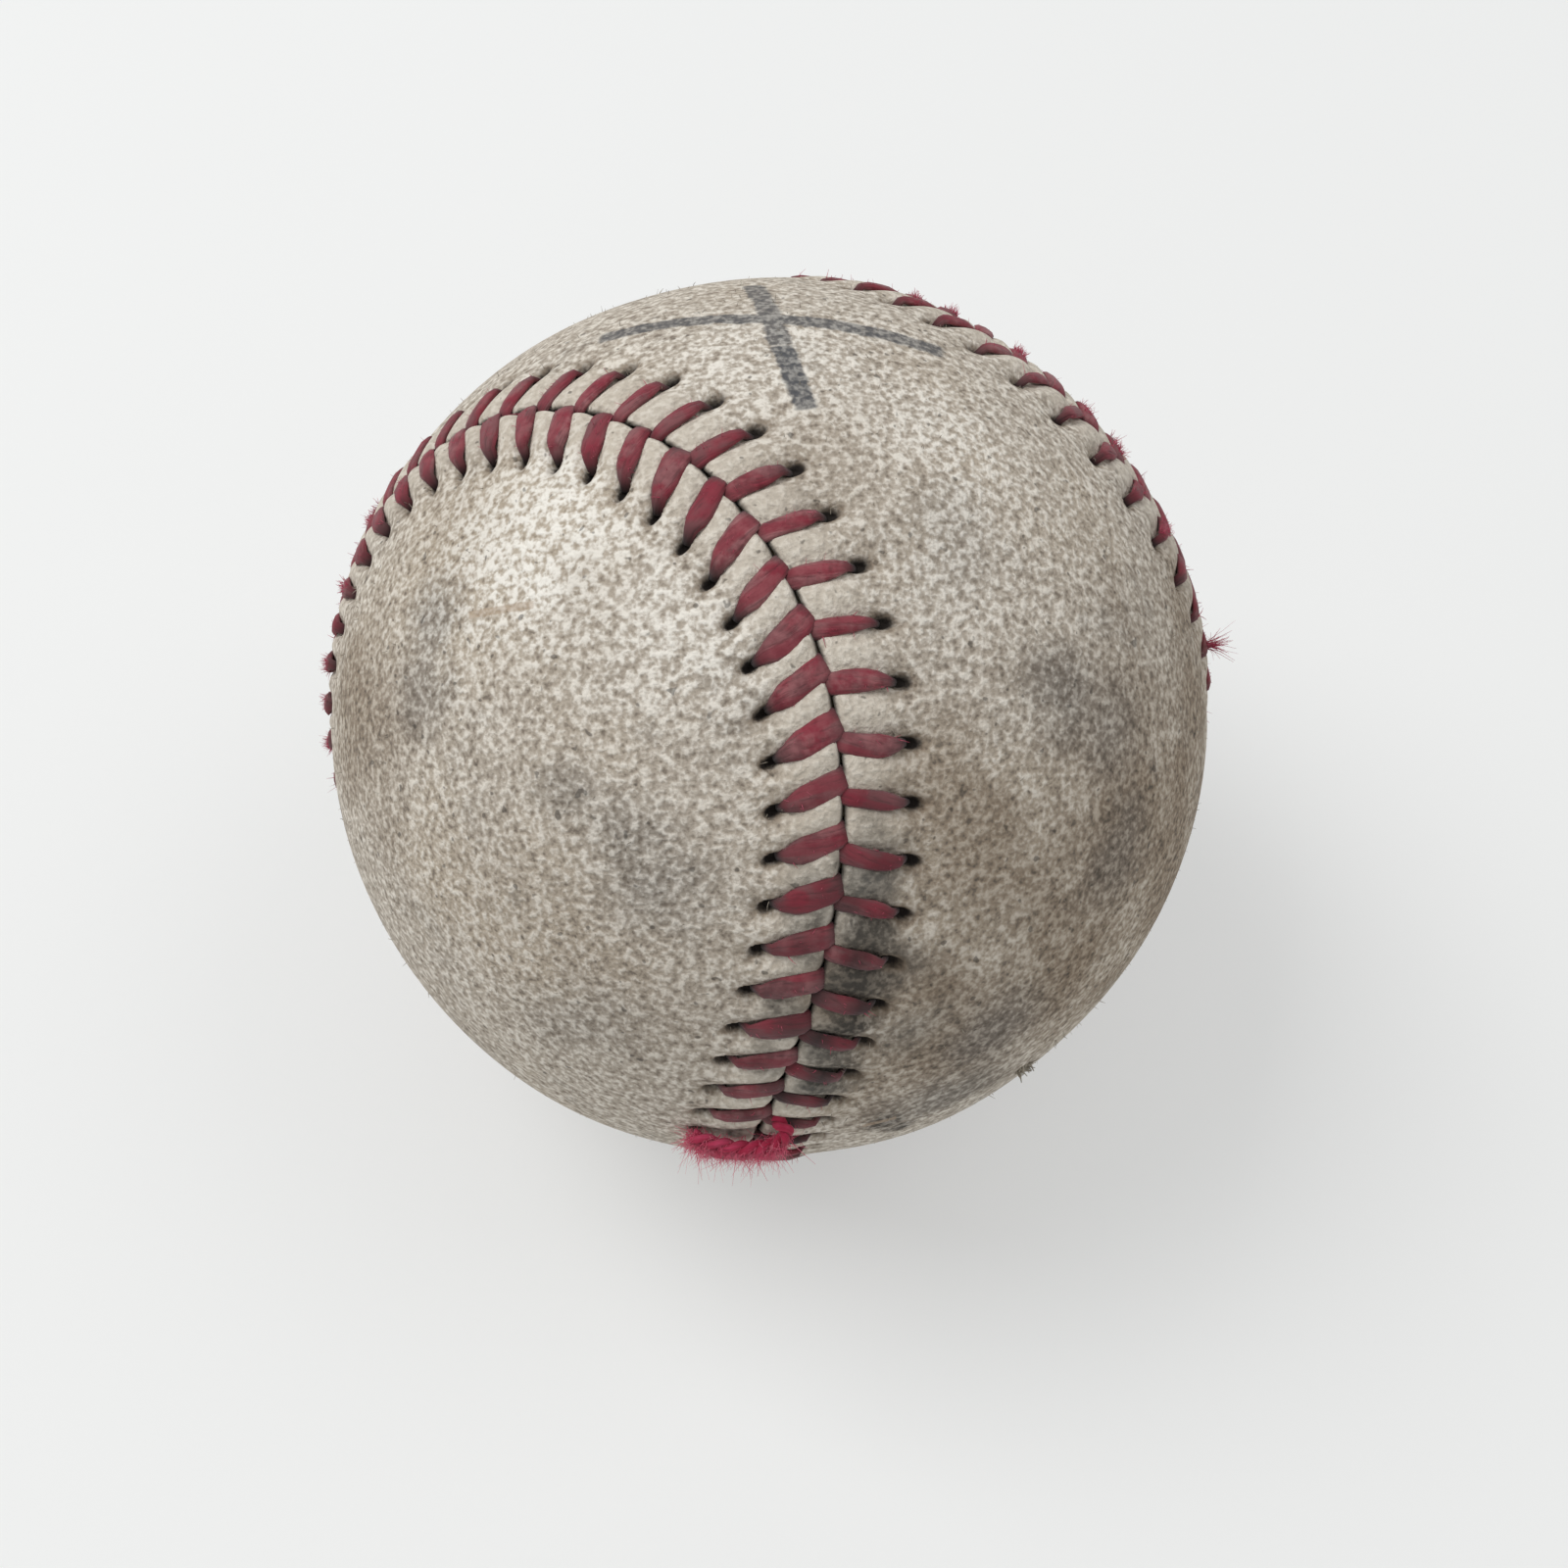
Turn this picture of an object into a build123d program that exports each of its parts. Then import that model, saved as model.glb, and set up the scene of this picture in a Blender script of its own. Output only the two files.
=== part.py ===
from build123d import *
import math
import os
from bisect import bisect_right

# A sewn leather baseball, built the way the real ball is built: a cork and
# rubber centre, four windings, a film of cement, two figure-eight leather
# panels and the waxed thread that sews them edge to edge.
# Millimetres. The origin is the centre of the ball and +Z is up as it lies.

# Centre
cork_diameter = 20.6
black_rubber_wall = 4.0
gasket_thickness = 0.8
red_rubber_wall = 3.2

# Windings, from the inside out
first_winding_depth = 13.85
second_winding_depth = 1.75
third_winding_depth = 2.3
finishing_winding_depth = 0.45
cement_depth = 0.1

# Leather cover
leather_thickness = 1.2
edge_gap = 0.2

# Sewing
stitch_count = 108
thread_diameter = 0.84
thread_clearance = 0.06
hole_setback_a = 4.55
hole_setback_b = 4.3
stitch_lag_a = 0.7
tail_reach = 5.0
dive_spacing_share = 1.64
bend_share = 2.5
first_end_share = 0.6
last_end_share = 0.35

# Outline of the seam, as shares of the ball's radius before it is brought onto the ball
seam_third_share = 0.298
seam_fifth_share = 0.0225
seam_height_share = 0.905
seam_sixth_share = 0.0093
first_stitch_share = 0.1688

# How the ball lies, in degrees
lean_x = -18.6
lean_y = 4.8
turn_z = 138.3

# Turn of the wound layers' closing meridian about the seam's axis, in degrees, clear of the slots' corners
meridian_turn = 60

# Steps used to trace the seam
trace_count = 4000

# Radii that follow from the layers
cork_radius = cork_diameter / 2
black_radius = cork_radius + black_rubber_wall
red_radius = black_radius + red_rubber_wall
first_radius = red_radius + first_winding_depth
second_radius = first_radius + second_winding_depth
third_radius = second_radius + third_winding_depth
finishing_radius = third_radius + finishing_winding_depth
cement_radius = finishing_radius + cement_depth
cover_radius = cement_radius + leather_thickness

# Sizes of the sewing that follow from the thread
thread_radius = thread_diameter / 2
passage_radius = thread_radius + thread_clearance
bend_radius = thread_radius + bend_share * thread_clearance
stitch_lag_b = stitch_lag_a + dive_spacing_share * 2 * passage_radius
under_radius = cement_radius - passage_radius
cut_margin = leather_thickness


def seam_direction(t):
    """Direction from the ball's centre to the seam at parameter t."""
    first_share = 1 - seam_third_share
    x = first_share * math.sin(t) + seam_third_share * math.sin(3 * t) + seam_fifth_share * math.sin(5 * t)
    y = first_share * math.cos(t) - seam_third_share * math.cos(3 * t) + seam_fifth_share * math.cos(5 * t)
    z = seam_height_share * math.cos(2 * t) + seam_sixth_share * math.cos(6 * t)
    return Vector(-x, y, z).normalized()


# Length of the seam on a ball of radius one, traced in short steps
trace_step = 2 * math.pi / trace_count
trace_lengths = [0.0]
for step in range(trace_count):
    chord = seam_direction((step + 1) * trace_step) - seam_direction(step * trace_step)
    trace_lengths.append(trace_lengths[-1] + chord.length)
seam_turn = trace_lengths[-1]


def beside_seam(along, aside):
    """Direction to the point that lies along the seam by one angle and aside of it by another."""
    along = along % seam_turn
    step = min(bisect_right(trace_lengths, along) - 1, trace_count - 1)
    part_share = (along - trace_lengths[step]) / (trace_lengths[step + 1] - trace_lengths[step])
    t = (step + part_share) * trace_step
    here = seam_direction(t)
    ahead = seam_direction(t + trace_step) - seam_direction(t - trace_step)
    across = here.cross(ahead).normalized()
    return here * math.cos(aside) + across * math.sin(aside)


def hole(panel, index):
    """Direction to a stitch hole: panel 0 is a, panel 1 is b."""
    aside = (hole_setback_a, -hole_setback_b)[panel] / cover_radius
    return beside_seam((first_stitch_share + index / stitch_count) * seam_turn, aside)


def dive(panel, index):
    """Direction to the place on the seam where the stitch from a panel's hole goes down."""
    lag = (stitch_lag_a, stitch_lag_b)[panel] / cover_radius
    return beside_seam((first_stitch_share + index / stitch_count) * seam_turn - lag, 0)


def over_point(place, other):
    """Corner of the thread above the leather, high enough for its straight run to clear the ball."""
    half_angle = math.radians(place.get_angle(other)) / 2
    return place * ((cover_radius + passage_radius) / math.cos(half_angle))


def thread_route(start_panel, has_tail):
    """Corners of one run of thread, hole to seam to the other panel's next hole, round the ball."""
    corners = []
    for index in range(stitch_count):
        panel = (start_panel + index) % 2
        before = dive(1 - panel, index - 1)
        here = hole(panel, index)
        down = dive(panel, index)
        low = before * under_radius
        if index == 0:
            low = low + (here * under_radius - low) * first_end_share
        corners += [low, here * under_radius]
        if has_tail and index == stitch_count - 1:
            aside = tail_reach / cover_radius * (1 if panel else -1)
            lag = (stitch_lag_a, stitch_lag_b)[1 - panel] / cover_radius
            end = beside_seam((first_stitch_share + index / stitch_count) * seam_turn - lag, aside)
            corners += [over_point(here, end), over_point(end, here)]
        else:
            corners += [over_point(here, down), over_point(down, here)]
    if not has_tail:
        low = dive(panel, stitch_count - 1) * under_radius
        after = hole(1 - panel, stitch_count) * under_radius
        corners += [low, low + (after - low) * last_end_share]
    return corners


def rounded_path(corners, radius):
    """Straight runs between the corners, joined by tangent arcs of one radius."""
    edges = []
    start = corners[0]
    for before, here, after in zip(corners, corners[1:], corners[2:]):
        arriving = (here - before).normalized()
        leaving = (after - here).normalized()
        cut = radius * math.tan(math.radians(arriving.get_angle(leaving)) / 2)
        bend_start = here - arriving * cut
        bend_end = here + leaving * cut
        edges.append(Edge.make_line(start, bend_start))
        edges.append(Edge.make_tangent_arc(bend_start, arriving, bend_end))
        start = bend_end
    edges.append(Edge.make_line(start, corners[-1]))
    return Wire(edges)


def thread_run(start_panel, has_tail):
    """One run of waxed thread as a round tube along its route."""
    path = rounded_path(thread_route(start_panel, has_tail), bend_radius)
    section = Plane(origin=path @ 0, z_dir=path % 0) * Circle(thread_radius)
    run = sweep(section, path)
    print("thread length", path.length, "volume share", run.volume / (math.pi * thread_radius**2 * path.length))
    return run


def layer(inner_radius, outer_radius):
    """A closed spherical layer."""
    return Sphere(outer_radius) - Sphere(inner_radius)


def wound_ball(radius):
    """The ball as wound up to one radius."""
    return Rotation(0, 0, meridian_turn) * Sphere(radius)


def thread_slots():
    """Slots pressed into the wound ball by the thread where it runs under the leather."""
    slots = []
    for index in range(stitch_count):
        for panel in (0, 1):
            start = dive(panel, index) * under_radius
            end = hole(1 - panel, index + 1) * under_radius
            middle = (start + end) / 2
            length = (end - start).length + 2 * passage_radius
            rise = cement_radius - middle.length + cut_margin
            place = Plane(origin=middle, x_dir=end - start, z_dir=middle)
            box = Box(length, 2 * passage_radius, passage_radius + rise, align=(Align.CENTER, Align.CENTER, Align.MIN))
            slots.append(place * Pos(0, 0, -passage_radius) * box)
    return slots


def stitch_holes(panel):
    """Round stitch holes through one panel's leather."""
    height = leather_thickness + 2 * cut_margin
    middle = (cement_radius + cover_radius) / 2
    places = [hole(panel, index) for index in range(stitch_count)]
    return [Plane(origin=place * middle, z_dir=place) * Cylinder(passage_radius, height) for place in places]


def panel_edge(panel):
    """Directions along one panel's edge, which steps back at each place where the thread goes down."""
    side = (1, -1)[panel]
    edge = side * edge_gap / 2 / cover_radius
    notch = side * passage_radius / cover_radius
    half_width = passage_radius / cover_radius
    places = []
    for index in range(stitch_count):
        here = (first_stitch_share + index / stitch_count) * seam_turn
        for lag in (stitch_lag_b, stitch_lag_a):
            middle = here - lag / cover_radius
            places.append(beside_seam(middle - half_width, edge))
            places.append(beside_seam(middle - half_width, notch))
            places.append(beside_seam(middle + half_width, notch))
            places.append(beside_seam(middle + half_width, edge))
    return places


def seam_wall(panel):
    """A wall of flat strips, each in a plane through the ball's centre, along one panel's edge."""
    inner = cement_radius - cut_margin
    outer = cover_radius + cut_margin
    places = panel_edge(panel)
    strips = []
    for here, after in zip(places, places[1:] + places[:1]):
        outline = Wire.make_polygon([here * inner, after * inner, after * outer, here * outer])
        strips.append(Face(outline))
    return Shell(strips)


def cover_panel(panel):
    """One figure-eight panel of leather, cut along the seam with half the edge gap to spare."""
    pieces = layer(cement_radius, cover_radius).split(seam_wall(panel), keep=Keep.ALL)
    waist = Vector(0, 0, (1, -1)[panel])
    chosen = max(pieces, key=lambda piece: piece.center(CenterOf.BOUNDING_BOX).dot(waist))
    return chosen - stitch_holes(panel)


def save(shape, node):
    """Turn a piece the way the ball lies and write it."""
    export_step(Rotation(lean_x, lean_y, turn_z) * shape, f"parts/{node}.step")


os.makedirs("parts", exist_ok=True)

# Centre: a cork ball in two rubber cups with a gasket at their joint, and a moulded red layer
black_layer = layer(cork_radius, black_radius)
joint_top = Plane.XY.offset(gasket_thickness / 2)
joint_bottom = Plane.XY.offset(-gasket_thickness / 2)
save(Sphere(cork_radius), "cork_core")
save(black_layer.split(joint_top, keep=Keep.TOP), "black_rubber_cup_a")
save(black_layer.split(joint_bottom, keep=Keep.BOTTOM), "black_rubber_cup_b")
save(black_layer.split(joint_top, keep=Keep.BOTTOM).split(joint_bottom, keep=Keep.TOP), "cup_gasket")
save(layer(black_radius, red_radius), "red_rubber_layer")

# Windings and cement, the outer ones pressed in where the thread runs under the leather
pressed_ball = wound_ball(cement_radius) - thread_slots()
save(layer(red_radius, first_radius), "first_winding")
save(layer(first_radius, second_radius), "second_winding")
save((pressed_ball & wound_ball(third_radius)) - wound_ball(second_radius), "third_winding")
save((pressed_ball & wound_ball(finishing_radius)) - wound_ball(third_radius), "finishing_winding")
save(pressed_ball - wound_ball(finishing_radius), "cement_film")

# Cover and sewing
save(cover_panel(0), "cover_panel_a")
save(cover_panel(1), "cover_panel_b")
save(thread_run(0, False), "stitch_thread_a")
save(thread_run(1, True), "stitch_thread_b")
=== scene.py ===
"""Visual model of a worn, sewn leather baseball lying on a pale table."""
import logging
import math
from dataclasses import dataclass, field
from enum import Enum
from functools import cached_property
from typing import Any, Sequence

import bpy
import numpy as np
from mathutils import Matrix


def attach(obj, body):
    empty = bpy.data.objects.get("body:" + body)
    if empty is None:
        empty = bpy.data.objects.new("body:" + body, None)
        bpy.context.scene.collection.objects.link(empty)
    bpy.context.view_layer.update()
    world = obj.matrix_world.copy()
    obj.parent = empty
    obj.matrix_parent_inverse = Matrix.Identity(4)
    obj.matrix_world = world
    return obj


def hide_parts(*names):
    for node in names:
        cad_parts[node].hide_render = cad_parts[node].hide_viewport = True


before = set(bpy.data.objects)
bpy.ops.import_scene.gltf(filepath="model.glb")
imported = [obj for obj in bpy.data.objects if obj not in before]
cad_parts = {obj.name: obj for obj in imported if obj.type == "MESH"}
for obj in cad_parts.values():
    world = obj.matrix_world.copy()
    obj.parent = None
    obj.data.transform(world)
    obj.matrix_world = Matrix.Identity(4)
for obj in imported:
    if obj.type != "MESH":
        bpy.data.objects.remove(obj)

LOG = logging.getLogger("baseball")
MM = 0.001
Array = np.ndarray
Colour = tuple[float, float, float]
Pixel = tuple[float, float]


class Side(Enum):
    """The two cover panels: a lies on the seam's left as it is sewn, b on its right."""

    A = 0
    B = 1

    @property
    def sign(self) -> int:
        """Sign of the distance aside of the seam on this panel."""
        return 1 if self is Side.A else -1


def ease(low: float, high: float, value: Array) -> Array:
    """Smooth step: 0 below low, 1 above high, and 3u^2 - 2u^3 between.

    Args:
        low: value where the step starts.
        high: value where the step ends.
        value: the values to ease.

    Returns:
        The eased values, from 0 to 1.
    """
    u = np.clip((value - low) / (high - low), 0.0, 1.0)
    return u * u * (3.0 - 2.0 * u)


def unit(vectors: Array) -> Array:
    """Vectors brought to length one."""
    return vectors / np.linalg.norm(vectors, axis=-1, keepdims=True)


def bell(value: Array, width: float) -> Array:
    """Bell curve: e to the power of minus the square of value over width."""
    return np.exp(-((value / width) ** 2))


@dataclass
class Seam:
    """The closed seam on the ball, and the places beside it, in millimetres.

    The seam is the curve x = -(a sin t + b sin 3t + c sin 5t), y = a cos t - b cos 3t + c cos 5t,
    z = h cos 2t + k cos 6t, brought onto the ball, where a and b add up to one.
    """

    radius: float = 37.15
    third_share: float = 0.298
    fifth_share: float = 0.0225
    height_share: float = 0.905
    sixth_share: float = 0.0093
    first_stitch_share: float = 0.1688
    stitch_count: int = 108
    lean_degrees: tuple[float, float, float] = (-18.6, 4.8, 138.3)
    steps: int = 8000
    slope_step: float = 1e-3
    length: float = field(init=False)
    pitch: float = field(init=False)

    def __post_init__(self) -> None:
        """Trace the curve once, so that lengths along it turn into parameters."""
        turn = [Matrix.Rotation(math.radians(a), 3, n) for a, n in zip(self.lean_degrees, "XYZ")]
        self._lie = np.array(turn[0] @ turn[1] @ turn[2])
        self._t = np.linspace(0.0, 2.0 * math.pi, self.steps + 1)
        chords = np.linalg.norm(np.diff(self.curve(self._t), axis=0), axis=1)
        self._run = np.concatenate([[0.0], np.cumsum(chords)]) * self.radius
        self.length = float(self._run[-1])
        self.pitch = self.length / self.stitch_count

    def curve(self, t: Array) -> Array:
        """Unit directions to the seam, before the ball is laid down.

        Args:
            t: curve parameters.

        Returns:
            One direction per parameter.
        """
        a = 1.0 - self.third_share
        x = a * np.sin(t) + self.third_share * np.sin(3 * t) + self.fifth_share * np.sin(5 * t)
        y = a * np.cos(t) - self.third_share * np.cos(3 * t) + self.fifth_share * np.cos(5 * t)
        z = self.height_share * np.cos(2 * t) + self.sixth_share * np.cos(6 * t)
        return unit(np.stack([-x, y, z], axis=-1))

    def parameter(self, along: Array) -> Array:
        """Curve parameter at a length along the seam."""
        return np.interp(np.mod(along, self.length), self._run, self._t)

    def laid(self, directions: Array) -> Array:
        """Directions turned the way the ball lies."""
        return directions @ self._lie.T

    def beside(self, along: Array, aside: Array) -> Array:
        """Directions to places beside the seam.

        The place lies on the great circle that crosses the seam squarely.

        Args:
            along: lengths along the seam.
            aside: distances from it, positive on panel a.

        Returns:
            Unit directions in the ball's lying frame.
        """
        along, aside = np.broadcast_arrays(along, aside)
        t = self.parameter(along)
        here = self.curve(t)
        ahead = self.curve(t + self.slope_step) - self.curve(t - self.slope_step)
        across = unit(np.cross(here, ahead))
        angle = (aside / self.radius)[..., None]
        return self.laid(here * np.cos(angle) + across * np.sin(angle))

    def hole_along(self, index: Array) -> Array:
        """Length along the seam of the stitch holes with these numbers."""
        return (self.first_stitch_share + index / self.stitch_count) * self.length


@dataclass(frozen=True)
class Sewing:
    """Where one panel's stitches lie: hole distance from the seam, and how far the hole trails."""

    side: Side
    setback: float
    lag: float
    width: float
    thickness: float


SEWING: dict[Side, Sewing] = {
    Side.A: Sewing(Side.A, 4.55, 0.8, 1.45, 0.62),
    Side.B: Sewing(Side.B, 4.3, 2.2, 1.9, 0.66),
}

# The stitch of panel b that has come out: the loose end is its thread.
PULLED_STITCH = 107


def stitch_swell(share: Array) -> Array:
    """Width along a stitch as a share of its full width: 0.42 at the hole, full from 0.42 of the way."""
    return 0.42 + 0.58 * ease(0.0, 0.42, share)


@dataclass
class PhotoCamera:
    """The camera of the photograph: a short lens close above the ball."""

    image: float = 1600.0
    focal: float = 1700.0
    ball_x: float = 785.1
    ball_y: float = 735.5
    ball_outline: float = 447.0
    elevation: float = 59.45
    radius: float = 37.15
    sensor: float = 36.0
    clip: float = 0.005

    def __post_init__(self) -> None:
        """Work out the view's axes and the ball's centre in it, in ball radii."""
        e = math.radians(self.elevation)
        right = [1.0, 0.0, 0.0]
        down = [0.0, -math.sin(e), -math.cos(e)]
        ahead = [0.0, math.cos(e), -math.sin(e)]
        self._axes = np.array([right, down, ahead])
        ray = self._rays(self.ball_x, self.ball_y)
        span = np.linalg.norm(ray)
        self._centre = ray / span / math.sin(math.atan(self.ball_outline / self.focal / span))

    def _rays(self, x: Any, y: Any) -> Array:
        """Ways from the camera through pixels of the photograph, in the camera's axes."""
        x, y = ((np.asarray(pixels, float) - self.image / 2) / self.focal for pixels in (x, y))
        return np.stack([x, y, np.ones_like(x)], axis=-1)

    def on_ball(self, x: Any, y: Any) -> Array:
        """Unit directions to the places on the ball that pixels of the photograph show.

        Args:
            x: pixels from the left.
            y: pixels from the top.

        Returns:
            Directions in the ball's frame.
        """
        rays = unit(self._rays(x, y))
        reach = rays @ self._centre
        depth = reach - np.sqrt(np.maximum(reach**2 - self._centre @ self._centre + 1.0, 0.0))
        return unit(rays * depth[..., None] - self._centre) @ self._axes

    def toward(self) -> Array:
        """Unit direction from the ball to the camera."""
        return -unit(self._centre @ self._axes)

    def build(self) -> bpy.types.Object:
        """Make the camera and set it as the scene's.

        Returns:
            The camera object.
        """
        data = bpy.data.cameras.new("photo_camera")
        data.sensor_width = self.sensor
        data.lens = self.focal / self.image * data.sensor_width
        data.clip_start = self.clip
        camera = bpy.data.objects.new("photo_camera", data)
        right, down, ahead = self._axes
        matrix = np.eye(4)
        matrix[:3, :3] = np.stack([right, -down, -ahead], axis=1)
        matrix[:3, 3] = -(self._centre @ self._axes) * self.radius * MM
        camera.matrix_world = Matrix(matrix.tolist())
        bpy.context.scene.collection.objects.link(camera)
        bpy.context.scene.camera = camera
        return camera


def make_piece(
    name: str,
    points: Array,
    faces: Sequence[Array],
    material: bpy.types.Material,
    values: dict[str, Array] | None = None,
) -> bpy.types.Object:
    """Put arrays of points and faces into a smooth mesh object.

    Args:
        name: the piece's name.
        points: places in millimetres, in the ball's frame.
        faces: arrays of corner numbers, one array for each corner count.
        material: the piece's finish.
        values: named values, one per point, that the finish reads.

    Returns:
        The linked object, at the origin.
    """
    mesh = bpy.data.meshes.new(name)
    corners = [row for block in faces for row in block.tolist()]
    mesh.from_pydata((points * MM).tolist(), [], corners)
    for label, data in (values or {}).items():
        layer = mesh.attributes.new(label, "FLOAT", "POINT")
        layer.data.foreach_set("value", np.ascontiguousarray(data, dtype=np.float32).ravel())
    mesh.shade_smooth()
    mesh.update()
    mesh.materials.append(material)
    piece = bpy.data.objects.new(name, mesh)
    bpy.context.scene.collection.objects.link(piece)
    LOG.info("%s: %d points, %d faces", name, len(points), len(corners))
    return piece


@dataclass(frozen=True)
class Tubes:
    """Many closed, flattened tubes: an ellipse carried along each path, square to it.

    The paths and the ways up are tube by ring by coordinate, and the sizes tube by ring.
    """

    centres: Array
    upward: Array
    half_width: Array
    half_height: Array
    sides: int

    def _points(self) -> Array:
        """Points of all the rings.

        Returns:
            The points, tube by ring by side, as rows.
        """
        along = unit(np.gradient(self.centres, axis=1))
        across = unit(np.cross(along, self.upward))
        rise = np.cross(across, along)
        angle = -math.pi / 2 + 2.0 * math.pi * np.arange(self.sides) / self.sides
        flat = across[:, :, None] * (self.half_width[..., None] * np.cos(angle))[..., None]
        tall = rise[:, :, None] * (self.half_height[..., None] * np.sin(angle))[..., None]
        return (self.centres[:, :, None] + flat + tall).reshape(-1, 3)

    def _faces(self) -> tuple[Array, Array]:
        """Corner numbers of the faces.

        Returns:
            The walls and the end caps.
        """
        count, rings = self.centres.shape[:2]
        tube, ring, side = np.indices((count, rings - 1, self.sides))
        here = (tube * rings + ring) * self.sides
        beyond = here + self.sides
        after = (side + 1) % self.sides
        walls = np.stack([here + side, beyond + side, beyond + after, here + after], axis=-1)
        first = np.arange(count)[:, None] * rings * self.sides
        around = np.arange(self.sides)[None, :]
        caps = np.concatenate([first + around, first + (rings - 1) * self.sides + around[:, ::-1]])
        return walls.reshape(-1, 4), caps

    def build(
        self, name: str, material: bpy.types.Material, values: dict[str, Any] | None = None
    ) -> bpy.types.Object:
        """Make the tubes as one piece.

        Args:
            name: the piece's name.
            material: its finish.
            values: named values that the finish reads, to spread over tubes, rings and sides.

        Returns:
            The piece.
        """
        shape = (*self.centres.shape[:2], self.sides)
        spread = {label: np.broadcast_to(data, shape) for label, data in (values or {}).items()}
        return make_piece(name, self._points(), self._faces(), material, spread)


def smooth_path(knots: Array, count: int) -> Array:
    """Places on a smooth curve through knots.

    Between two knots the curve is a cubic, and its slope at a knot is half the step from the
    knot before to the knot after.

    Args:
        knots: the knots, one per row.
        count: number of places.

    Returns:
        The places, evenly shared among the stretches between knots.
    """
    slopes = np.gradient(knots, axis=0)
    share = np.linspace(0.0, len(knots) - 1.0, count)
    start = np.minimum(share.astype(int), len(knots) - 2)
    u = (share - start)[:, None]
    bend = (u**3 - 2.0 * u**2 + u) * slopes[start] + (u**3 - u**2) * slopes[start + 1]
    blend = 3.0 * u**2 - 2.0 * u**3
    return knots[start] * (1.0 - blend) + knots[start + 1] * blend + bend


@dataclass(frozen=True)
class Fibres:
    """Many short three-sided fibres: each starts at a place, goes one way and bends as it goes."""

    starts: Array
    ways: Array
    bends: Array
    lengths: Array
    radii: Array
    rings: int = 4
    sides: int = 3
    taper: float = 0.75

    def build(self, name: str, material: bpy.types.Material) -> bpy.types.Object:
        """Make the fibres: start plus way times share plus bend times share squared, tapering.

        Args:
            name: the piece's name.
            material: the fibres' finish.

        Returns:
            The piece.
        """
        share = np.linspace(0.0, 1.0, self.rings)[None, :, None]
        run = self.ways[:, None] * share + self.bends[:, None] * share**2
        centres = self.starts[:, None] + run * self.lengths[:, None, None]
        upward = np.broadcast_to(unit(np.cross(self.ways, self.bends))[:, None], centres.shape)
        half = self.radii[:, None] * (1.0 - self.taper * share[..., 0])
        return Tubes(centres, upward, half, half, self.sides).build(name, material)


@dataclass(frozen=True)
class Value:
    """A value in a node tree. Each sum written on it is one math node."""

    graph: "Graph"
    socket: bpy.types.NodeSocket

    def __add__(self, other: Any) -> "Value":
        """The value plus another."""
        return self.graph.math("ADD", self, other)

    def __sub__(self, other: Any) -> "Value":
        """The value less another."""
        return self.graph.math("SUBTRACT", self, other)

    def __rsub__(self, other: float) -> "Value":
        """A number less the value."""
        return self.graph.math("SUBTRACT", other, self)

    def __mul__(self, other: Any) -> "Value":
        """The value times another."""
        return self.graph.math("MULTIPLY", self, other)

    def __truediv__(self, other: Any) -> "Value":
        """The value over another."""
        return self.graph.math("DIVIDE", self, other)

    def __rtruediv__(self, other: float) -> "Value":
        """A number over the value."""
        return self.graph.math("DIVIDE", other, self)


def rgba(colour: Any) -> Any:
    """A colour with full alpha, or a value of a node tree as it is."""
    return colour if isinstance(colour, Value) else (*colour, 1.0)[:4]


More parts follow.
